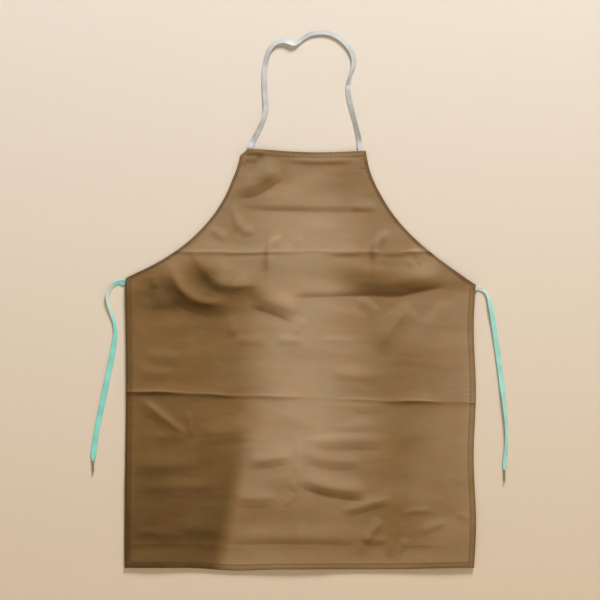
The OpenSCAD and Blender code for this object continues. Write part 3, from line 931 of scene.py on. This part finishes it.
def build_tie(side):
    """One tie as two tapes: its sewn end up to the middle of the short root, and its hanging length."""
    curve, wrap, swing, out = tie_parts(side)
    curve = smooth_values(resample(curve, TIE_STEP), 40)
    sign = SIGN[side]
    n = len(curve)
    free = soft_step((curve[:, 0] - PANEL_HALF) / (10 * MM))
    twist = np.radians(smooth_values(np.interp(np.linspace(0, 1, n), *TIE_TWIST[side]), 10)) * free
    from_swing = np.linalg.norm(curve - swing, axis=1)
    lowered = swing[1] - curve[:, 1]
    to_end = np.linalg.norm(curve - curve[-1], axis=1)
    gather = tie_gather(side, from_swing, lowered)
    roll = bell(to_end / (9 * MM))
    width = TAPE_W * (1 - 0.42 * gather) * (1 - roll) + ROLL_W * roll
    thick = TAPE_T * (1 + 0.4 * gather) * (1 - roll) + ROLL_T * roll
    corner_drift = outline_drift(np.array([PANEL_HALF * sign]), np.array([wrap[1]]))[1][0]
    lift = (corner_drift + 2 * MM) * soft_step(1 - lowered / (90 * MM)) * free
    x, z = curve[:, 0] * sign, curve[:, 1]
    inside_x = np.clip(x, -PANEL_HALF + 2 * MM, PANEL_HALF - 2 * MM)
    behind = tape_depth(np.abs(inside_x), z, directions(curve))
    sewn = behind_cloth(inside_x, z, smooth_values(behind, 4))
    hanging = resting_depth(twist, width, thick)
    tip_share = soft_step(1 - to_end / (60 * MM))
    hanging = hanging * (1 - tip_share) + TAPE_Y * tip_share
    depth = sewn[:, 1] * (1 - free) + hanging * free
    height = sewn[:, 2] * (1 - free) + (z + lift) * free
    centres = np.stack([x, depth, height], axis=1)
    faded = tie_fading(side, (np.arange(n) - np.argmin(from_swing)) * TIE_STEP)
    past_middle = np.abs((curve - (wrap + swing) / 2) @ out)
    cut = int(np.argmin(past_middle + (from_swing > 20 * MM)))
    root, tie = (
        tape_mesh(name, centres[part], twist[part] * sign, width[part], thick[part], 2 + cut, faded[part])
        for name, part in ((f"{side}_tie_root_tape", slice(0, cut + 1)), (f"{side}_tie_tape", slice(cut, n)))
    )
    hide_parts(f"{side}_tie_tail", f"{side}_tie_root")
    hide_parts(f"{side}_tie")

    def blend(tape, bodies, middle, ahead, before, after):
        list(bodies)
        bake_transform(tape)

    base, length = f"{side}_tie_base", f"{side}_tie_length"
    blend(root, ("waist", base), wrap, out, 4 * MM, 3 * MM)
    blend(tie, (base, length), swing, TIE_BEND, 4.5 * MM, 4.5 * MM)
    return [root, tie]


# ---------------------------------------------------------------- aglets
def build_aglet(side):
    """A turned metal sleeve with a rolled mouth, two crimped rings and a rounded tip."""
    low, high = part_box(f"{side}_aglet")
    length, r = high.z - low.z, (high.x - low.x) / 2
    wall = 0.35 * MM
    profile = [(r - wall, length * 0.8), (r - wall, length - 0.2 * MM), (r - 0.5 * wall, length),
               (r + 0.1 * MM, length - 0.15 * MM), (r + 0.12 * MM, length - 0.6 * MM), (r, length - 1.0 * MM)]
    for ring in (0.76, 0.56):
        profile += [(r, length * ring + 0.9 * MM), (r - 0.3 * MM, length * ring + 0.35 * MM),
                    (r - 0.3 * MM, length * ring - 0.35 * MM), (r, length * ring - 0.9 * MM)]
    profile += [(r * 0.99, length * 0.25), (r * 0.97, 2.2 * MM)]
    for a in np.linspace(0.3, math.pi / 2, 5):
        profile.append((r * 0.97 - 1.3 * MM * (1 - math.cos(a)), 2.2 * MM * (1 - math.sin(a))))
    profile = np.array(profile)
    sides = 40
    around = np.arange(sides) * 2 * math.pi / sides
    pinch = 0.07 * bell((profile[:, 1:] - length * 0.66) / (3 * MM)) * np.cos(2 * around) ** 2
    radius = profile[:, :1] * (1 - pinch)
    centre = (low + high) / 2
    verts = np.stack([
        centre.x + radius * np.cos(around), centre.y + radius * np.sin(around),
        np.broadcast_to(low.z + profile[:, 1:], radius.shape)
    ], axis=2).reshape(-1, 3)
    aglet = add_mesh(f"{side}_aglet_sleeve", verts, tube_faces(len(profile), sides))
    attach(aglet, f"{side}_tie_length")
    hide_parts(f"{side}_aglet")
    return aglet


# ---------------------------------------------------------------- stitches
STITCH = 3.3 * MM
THREAD_R = 0.32 * MM
TACK_R = 0.28 * MM
# A stitch is eight steps long. Its thread has points at the steps in RUN, and stands this far off the cloth
# there, in a seam and in a tack.
STEPS = 8
RUN = np.array([0, 1, 2, 4, 6, 7, 8])
SEAM_RISE = np.array([-0.35, 0.1, 0.22, 0.26, 0.22, 0.1, -0.35]) * MM
TACK_RISE = np.array([-0.2, 0.02, 0.08, 0.1, 0.08, 0.02, -0.2]) * MM


def thread_mesh(name, runs, radius=THREAD_R, paler=0.0):
    """Threads as thin tubes. Each run is an m x 3 array of centres, and all runs have the same m."""
    runs = np.array(runs)
    count, m = runs.shape[:2]
    sides = 6
    tangent = unit(np.gradient(runs, axis=1))
    side = unit(np.cross(tangent, [0.0, -1.0, 0.0]))
    lift = np.cross(side, tangent)
    angle = np.arange(sides) * 2 * math.pi / sides
    taper = np.interp(np.linspace(0, 1, m), [0, 0.15, 0.85, 1], [0.55, 1, 1, 0.55]) * radius
    around = side[:, :, None] * np.cos(angle)[:, None] + lift[:, :, None] * np.sin(angle)[:, None]
    verts = runs[:, :, None] + taper[:, None, None] * around
    faces = []
    for base in range(0, count * m * sides, m * sides):
        faces += tube_faces(m, sides, base)
    along = np.repeat(np.linspace(0, STITCH, m), sides)
    uv = np.tile(np.stack([np.tile(angle * radius, m), along], axis=1), (count, 1))
    pick = np.repeat(RNG.random(count), m * sides) + paler
    return add_mesh(name, verts.reshape(-1, 3), faces, uv, numbers={"pick": pick})


def laid_runs(x, z, rise, tape_behind=None):
    """Threads over the front at the m x n pattern points, and again over the back of the hem or tape."""
    shape = x.shape + (3,)
    x, z, rise = x.ravel(), z.ravel(), np.broadcast_to(rise, x.shape).ravel()
    over = on_cloth(x, z, front_depth(x, z) - rise)
    if tape_behind is None:
        under = on_cloth(x, z, back_depth(x, z) + rise)
    else:
        under = behind_cloth(x, z, tape_behind(x, z) + rise)
    return np.concatenate([over.reshape(shape), under.reshape(shape)])


def seam_runs(path, tape_behind=None):
    """Stitches along a flat path, each an arch of thread between two needle holes."""
    path = resample(path, STITCH / STEPS)
    starts = np.arange(0, len(path) - STEPS, STEPS)
    lines = path[starts[:, None] + RUN]
    trim = 0.1 * (lines[:, -1] - lines[:, 0])
    lines[:, 0] += trim
    lines[:, -1] -= trim
    lines = lines + (RNG.random((len(lines), 1, 1)) - 0.5) * 0.25 * MM
    return laid_runs(lines[:, :, 0], lines[:, :, 1], SEAM_RISE, tape_behind)


def arm_seam():
    """Flat path of the right armhole's seam, kept clear of the hems it meets."""
    edge = resample(ARM_EDGE, 2 * MM)
    tangent = directions(edge)
    path = edge + np.stack([-tangent[:, 1], tangent[:, 0]], axis=1) * ARM_SEAM_IN
    x, z = path.T
    return path[(z > WAIST_Z - 6 * MM) & (z < PANEL_TOP - 2 * MM) & (x < PANEL_HALF - 6 * MM)]


def build_seams():
    made = []
    for side, sign in SIGN.items():
        arm = thread_mesh(f"{side}_armhole_stitches", seam_runs(arm_seam() * [sign, 1]))
        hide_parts(f"{side}_armhole_seam_upper", f"{side}_armhole_seam_lower")
        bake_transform(arm)
        seam_x = sign * (PANEL_HALF - SEAM_IN)
        path = np.array([[seam_x, 3 * MM], [seam_x, WAIST_Z - 8 * MM]])
        edge = thread_mesh(f"{side}_side_stitches", seam_runs(path))
        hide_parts(f"{side}_side_seam_upper", f"{side}_side_seam_lower")
        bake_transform(edge)
        made += [arm, edge]
    levels = [("top", "bib", BIB_HALF, PANEL_TOP - SEAM_IN), ("bottom", "skirt", PANEL_HALF, SEAM_IN)]
    for name, body, half, z in levels:
        end_x = half - 3 * MM
        level = thread_mesh(f"{name}_stitches", seam_runs(np.array([[-end_x, z], [end_x, z]])))
        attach(level, body)
        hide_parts(f"{name}_seam")
        made.append(level)
    return made


def tack_runs(a, b, width, tape_behind):
    """A bar tack from a to b: close zigzag threads across its width."""
    ahead = unit(b - a)
    side = np.array([-ahead[1], ahead[0]]) * width / 2
    pitch = 0.55 * MM
    number = np.arange(int(np.linalg.norm(b - a) / pitch))[:, None]
    start, end = a + ahead * number * pitch - side, a + ahead * (number + 0.8) * pitch + side
    odd = number % 2 == 1
    start, end = np.where(odd, end, start), np.where(odd, start, end)
    lines = start[:, None] + (end - start)[:, None] * (RUN / STEPS)[None, :, None]
    return laid_runs(lines[:, :, 0], lines[:, :, 1], TACK_RISE, tape_behind)


def tape_back(start, ahead):
    """Depth of the back of a tape that runs straight from start, for any point across its width."""
    def depth(x, z):
        passed = (x - start[0]) * ahead[0] + (z - start[1]) * ahead[1]
        return tape_depth(start[0] + ahead[0] * passed, start[1] + ahead[1] * passed, ahead) + TAPE_T / 2

    return depth


def neck_tack_runs(foot, angle):
    """A box of stitches closed by a bar tack, through one end of the neck tape."""
    down = -lean(angle)
    across = np.array([-down[1], down[0]])
    top, low, half = 28.5 * MM, 48 * MM, 3.5 * MM
    sides = [(low, -half), (top, -half), (top, half), (low, half)]
    corners = np.array([foot + down * lowered + across * aside for lowered, aside in sides])
    box = np.stack(neck_pattern(*corners.T), axis=1)
    end, bar = foot + down * low, across * 5 * MM
    behind = tape_back(foot, down)
    return [seam_runs(box, behind), tack_runs(end - bar, end + bar, 2 * MM, behind)]


def tie_tack_runs(side):
    """Three bar tacks through the sewn end of a tie, two of them close together near the panel's edge."""
    _, wrap, _, out = tie_parts(side)
    mirror = [SIGN[side], 1]
    exit_at = wrap - out * 7 * MM / out[0]
    bar = np.array([-out[1], out[0]]) * 5 * MM
    behind = tape_back(exit_at * mirror, out * mirror)
    middles = [exit_at - out * inset for inset in (28 * MM, 8 * MM, 4.5 * MM)]
    return [tack_runs((m - bar) * mirror, (m + bar) * mirror, 1.8 * MM, behind) for m in middles]


def build_tacks():
    tacks = [
        ("left_neck_tack", "bib", neck_tack_runs, (NECK_FOOT_L, NECK_LEAN_L)),
        ("right_neck_tack", "bib", neck_tack_runs, (NECK_FOOT_R, NECK_LEAN_R)),
        ("left_tie_tack", "waist", tie_tack_runs, ("left",)),
        ("right_tie_tack", "waist", tie_tack_runs, ("right",)),
    ]
    made = []
    for name, body, runs, given in tacks:
        tack = thread_mesh(f"{name}_stitches", np.concatenate(runs(*given)), TACK_R, paler=1.0)
        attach(tack, body)
        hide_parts(name)
        made.append(tack)
    return made


# ---------------------------------------------------------------- materials
class Nodes:
    """A new material's node tree, with a short call for each kind of node used here."""

    def __init__(self, name, **principled):
        self.material = bpy.data.materials.new(name)
        self.material.use_nodes = True
        self.tree = self.material.node_tree
        self.shader = self.tree.nodes["Principled BSDF"]
        self.feed(**principled)

    def feed(self, **values):
        """Gives the shader's inputs a number, a colour or another node's output."""
        for key, value in values.items():
            self.plug(self.shader.inputs[key.replace("_", " ")], value)

    def plug(self, socket, value):
        if isinstance(value, bpy.types.NodeSocket):
            self.tree.links.new(value, socket)
        else:
            socket.default_value = value

    def node(self, kind, settings=None, given=(), out=0, **inputs):
        """One output of a new node. given fills its inputs in order, and inputs by their names."""
        made = self.tree.nodes.new("ShaderNode" + kind)
        for key, value in (settings or {}).items():
            setattr(made, key, value)
        for socket, value in zip(made.inputs, given):
            self.plug(socket, value)
        for key, value in inputs.items():
            self.plug(made.inputs[key.replace("_", " ")], value)
        return made.outputs[out]

    def maths(self, operation, *given):
        return self.node("Math", {"operation": operation}, given)

    def add(self, first, *others):
        for other in others:
            first = self.maths("ADD", first, other)
        return first

    def times(self, a, b):
        return self.maths("MULTIPLY", a, b)

    def sine(self, value, length):
        return self.maths("SINE", self.times(value, 2 * math.pi / length))

    def mixed(self, share, a, b, blend="MIX"):
        made = self.node("Mix", {"data_type": "RGBA", "blend_type": blend}, out=2).node
        for index, value in ((0, share), (6, a), (7, b)):
            self.plug(made.inputs[index], value)
        return made.outputs[2]

    def noise(self, vector, scale, detail=3.0, rough=0.5):
        return self.node("TexNoise", Vector=vector, Scale=scale, Detail=detail, Roughness=rough)

    def spread(self, value, low, high, to_low, to_high):
        return self.node("MapRange", given=(value, low, high, to_low, to_high))

    def stretched(self, vector, *scale):
        return self.node("Mapping", Vector=vector, Scale=scale)

    def flat(self):
        return self.node("UVMap", {"uv_map": "flat"})

    def attribute(self, name):
        return self.node("Attribute", {"attribute_name": name}, out="Fac")

    def split(self, vector):
        return self.node("SeparateXYZ", Vector=vector).node.outputs

    def wave(self, u_rate, v_rate, uv):
        """A sine across the flat pattern, with the given waves per metre along x and z."""
        u, v, _ = self.split(uv)
        along_u = self.times(u, u_rate * 2 * math.pi)
        along_v = self.times(v, v_rate * 2 * math.pi)
        return self.maths("SINE", self.add(along_u, along_v))

    def bump(self, strength, depth, height):
        self.feed(Normal=self.node("Bump", Strength=strength, Distance=depth, Height=height))


CLOTH_DARK = (0.074, 0.038, 0.005, 1)
CLOTH_MID = (0.220, 0.126, 0.046, 1)
CLOTH_LIGHT = (0.420, 0.298, 0.184, 1)
CLOTH_BACK = (0.30, 0.185, 0.092, 1)
THREAD_COLOURS = (0.125, 0.078, 0.034, 1), (0.230, 0.150, 0.075, 1)
NECK_COLOURS = (0.66, 0.69, 0.69, 1), (0.38, 0.41, 0.43, 1)
TIE_COLOURS = (0.30, 0.83, 0.77, 1), (0.14, 0.50, 0.45, 1)
BARE_COLOURS = (0.72, 0.77, 0.69, 1), (0.50, 0.55, 0.48, 1)
METAL_COLOURS = (0.50, 0.46, 0.37, 1), (0.20, 0.175, 0.13, 1)


def cloth_material():
    """Close twill with a pressed, slightly shiny face and a duller back."""
    n = Nodes("apron_twill", Sheen_Weight=0.05, Sheen_Roughness=0.5, Specular_IOR_Level=0.18)
    uv, front = n.flat(), n.attribute("front")
    cloudy = n.spread(n.noise(uv, 9.0, 4.0, 0.55), 0.3, 0.7, -0.05, 0.05)
    brushed = n.spread(n.noise(n.stretched(uv, 9, 45, 1), 1.0, 4.0, 0.55), 0.3, 0.7, -0.03, 0.03)
    slub = n.spread(n.noise(n.stretched(uv, 1800, 160, 1), 1.0, 2.0), 0.3, 0.7, -0.05, 0.05)
    # The painted light and shade picks the face colour between the dark and light browns.
    ramp = n.node("ValToRGB", Fac=n.add(n.attribute("tone_and_painted_light"), cloudy, brushed, slub))
    stops = ramp.node.color_ramp.elements
    stops[0].color = CLOTH_DARK
    stops[1].color = CLOTH_LIGHT
    stops.new(0.42).color = CLOTH_MID
    blotches = n.spread(n.noise(uv, 14.0, 2.0), 0.35, 0.65, 0.0, 1.0)
    dye = n.mixed(blotches, (1.03, 0.985, 0.95, 1), (0.97, 1.01, 1.02, 1))
    face = n.mixed(1.0, ramp, dye, "MULTIPLY")
    back = n.mixed(n.add(0.9, cloudy, slub), CLOTH_DARK, CLOTH_BACK)
    rough = n.spread(n.noise(uv, 30.0), 0.3, 0.7, 0.46, 0.56)
    duller = n.times(n.maths("SUBTRACT", 1.0, front), 0.25)
    n.feed(Base_Color=n.mixed(front, back, face), Roughness=n.add(rough, duller))
    weave = n.add(n.wave(1100, 1100, uv), n.times(n.wave(0, 2200, uv), 0.4))
    fuzz = n.noise(uv, 3000.0, 2.0)
    n.bump(0.35, 0.06 * MM, n.add(n.times(weave, 0.5), n.times(fuzz, 0.8)))
    return n.material


def tape_material(name, colours):
    """Herringbone tape: ribs slope away from the middle line, and the selvedges are a little darker."""
    n = Nodes(name, Roughness=0.72, Sheen_Weight=0.25, Sheen_Roughness=0.5, Specular_IOR_Level=0.3)
    uv = n.flat()
    u, v, _ = n.split(uv)
    across = n.maths("ABSOLUTE", u)
    rib = n.sine(n.add(across, v), 1.1 * MM)
    edge = n.spread(across, 4.6 * MM, 6.0 * MM, 0.0, 0.35)
    grime = n.spread(n.noise(uv, 26.0, 4.0), 0.38, 0.68, 0.0, 0.45)
    share = n.add(edge, grime, n.spread(rib, -1.0, 1.0, 0.22, 0.0))
    faded = n.times(n.attribute("faded"), 0.8)
    n.feed(Base_Color=n.mixed(faded, n.mixed(share, *colours), n.mixed(share, *BARE_COLOURS)))
    n.bump(0.6, 0.12 * MM, n.add(n.times(rib, 0.6), n.times(n.sine(across, 0.55 * MM), 0.3)))
    return n.material


def thread_material():
    """Twisted sewing thread, each stitch a little lighter or darker than the next."""
    n = Nodes("sewing_thread", Roughness=0.6, Sheen_Weight=0.2, Specular_IOR_Level=0.35)
    ply = n.wave(900, 1400, n.flat())
    share = n.add(n.times(n.attribute("pick"), 0.5), n.spread(ply, -1.0, 1.0, 0.0, 0.3))
    n.feed(Base_Color=n.mixed(share, *THREAD_COLOURS))
    n.bump(0.5, 0.08 * MM, ply)
    return n.material


def aglet_material():
    """Dull, brushed metal with darker stains."""
    n = Nodes("aglet_metal", Metallic=0.85)
    place = n.node("TexCoord", out="Object")
    lines = n.noise(n.stretched(place, 2500, 2500, 120), 1.0)
    stain = n.spread(n.noise(place, 260.0, 4.0), 0.35, 0.7, 0.0, 0.7)
    share = n.add(stain, n.spread(lines, 0.3, 0.7, 0.0, 0.25))
    n.feed(Base_Color=n.mixed(share, *METAL_COLOURS), Roughness=n.spread(lines, 0.3, 0.7, 0.3, 0.5))
    n.bump(0.3, 0.05 * MM, lines)
    return n.material


def dress(objects, material):
    for obj in objects:
        obj.data.materials.append(material)


# ---------------------------------------------------------------- stage, light and camera
# Backdrop paper low and high; the darker, warmer low end is painted shade.
PAPER_SHADED_COLOURS = (0.70, 0.59, 0.455, 1), (0.86, 0.795, 0.71, 1)
FLOOR_Z = -0.45
AIM_Z = corner("neck_loop", 1)[2] / 2
# The camera's lens and sensor in millimetres, and the side of the square that it sees.
LENS = 85
SENSOR = 36
FRAME_SIDE = 1.306
VIEW_FAR = FRAME_SIDE * LENS / SENSOR


def backdrop_material(name, hides):
    """Pale paper, darker and warmer low down, which is painted shade. One that hides lets a camera at its
    side or back see past it, and one that doesn't fades out far away."""
    n = Nodes(name, Roughness=0.9, Specular_IOR_Level=0.1)
    place = n.node("NewGeometry", out="Position")
    # Painted shade: the paper grows darker and warmer towards the bottom.
    n.feed(Base_Color=n.mixed(n.spread(n.split(place)[2], -0.1, 1.25, 0.0, 1.0), *PAPER_SHADED_COLOURS))
    if hides:
        spaces = {"vector_type": "POINT", "convert_from": "CAMERA", "convert_to": "WORLD"}
        eye = n.node("VectorTransform", spaces, Vector=(0, 0, 0))
        line = n.node("VectorMath", {"operation": "SUBTRACT"}, (eye, (0, 0, AIM_Z)))
        facing = n.split(n.node("VectorMath", {"operation": "NORMALIZE"}, (line,)))[1]
        fade = n.maths("GREATER_THAN", facing, -0.35)
    else:
        fade = n.spread(n.node("VectorMath", {"operation": "LENGTH"}, (place,), out=1), 1.4, 4.5, 0.0, 1.0)
    shown = n.node("MixShader", given=(fade, n.shader.outputs[0], n.node("BsdfTransparent")))
    n.plug(n.tree.nodes["Material Output"].inputs["Surface"], shown)
    return n.material


def build_stage():
    """A table top stood upright just behind the apron, curving into a floor, and a plain floor under both."""
    wide, cove = 4.0, 0.3
    profile = [(REST_Y, wide), (REST_Y, FLOOR_Z + cove)]
    for a in np.linspace(0, math.pi / 2, 13)[1:]:
        profile.append((REST_Y - cove * (1 - math.cos(a)), FLOOR_Z + cove * (1 - math.sin(a))))
    profile.append((-wide, FLOOR_Z))
    verts = np.array([(sx * wide, y, z) for y, z in profile for sx in (-1, 1)])
    faces = [(2 * i, 2 * i + 1, 2 * i + 3, 2 * i + 2) for i in range(len(profile) - 1)]
    wall = add_mesh("backdrop", verts, faces)
    wall.data.materials.append(backdrop_material("backdrop_paper", True))
    square = 2 * wide * np.array([(-1, -1, 0), (1, -1, 0), (1, 1, 0), (-1, 1, 0)])
    floor = add_mesh("floor", square + [0, 0, FLOOR_Z - 2 * MM], [(0, 1, 2, 3)])
    floor.data.materials.append(backdrop_material("floor_paper", False))


def add_light(name, place, aim, size, power, colour):
    data = bpy.data.lights.new(name, "AREA")
    data.shape = "DISK"
    data.size = size
    data.energy = power
    data.color = colour
    obj = bpy.data.objects.new(name, data)
    bpy.context.scene.collection.objects.link(obj)
    obj.location = place
    direction = obj.location - Vector(aim)
    obj.rotation_euler = direction.to_track_quat("Z", "Y").to_euler()


def build_lights():
    add_light("key", (1.6, -3.0, 7.6), (0, 0, 0.6), 2.2, 770, (1, 0.99, 0.975))
    add_light("fill", (-2.6, -3.4, 1.2), (0, 0, 0.5), 2.5, 8, (1, 0.98, 0.96))
    add_light("back_key", (-1.6, 3.2, 3.2), (0, 0, 0.6), 2.0, 90, (1, 0.97, 0.93))
    add_light("back_fill", (2.8, 2.8, 1.0), (0, 0, 0.5), 2.0, 35, (1, 0.97, 0.95))
    world = bpy.data.worlds.new("studio")
    world.use_nodes = True
    tree = world.node_tree
    background = tree.nodes["Background"]
    background.inputs["Color"].default_value = (0.85, 0.81, 0.76, 1)
    # The camera sees a paler surround than the one that lights the apron.
    seen = tree.nodes.new("ShaderNodeLightPath").outputs["Is Camera Ray"]
    strength = tree.nodes.new("ShaderNodeMapRange")
    strength.inputs["To Min"].default_value = 0.16
    strength.inputs["To Max"].default_value = 0.85
    tree.links.new(seen, strength.inputs["Value"])
    tree.links.new(strength.outputs[0], background.inputs["Strength"])
    bpy.context.scene.world = world


def build_camera():
    data = bpy.data.cameras.new("camera")
    data.lens = LENS
    data.sensor_width = SENSOR
    camera = bpy.data.objects.new("camera", data)
    camera.location = (0, -VIEW_FAR, AIM_Z)
    camera.rotation_euler = (math.pi / 2, 0, 0)
    bpy.context.scene.collection.objects.link(camera)
    bpy.context.scene.camera = camera
    bpy.context.scene.view_settings.view_transform = "Standard"


def main():
    dress(build_panel(), cloth_material())
    dress([build_neck_tape()], tape_material("neck_tape_weave", NECK_COLOURS))
    dress(build_tie("left") + build_tie("right"), tape_material("tie_tape_weave", TIE_COLOURS))
    dress(build_seams() + build_tacks(), thread_material())
    dress([build_aglet("left"), build_aglet("right")], aglet_material())
    build_stage()
    build_lights()
    build_camera()


main()
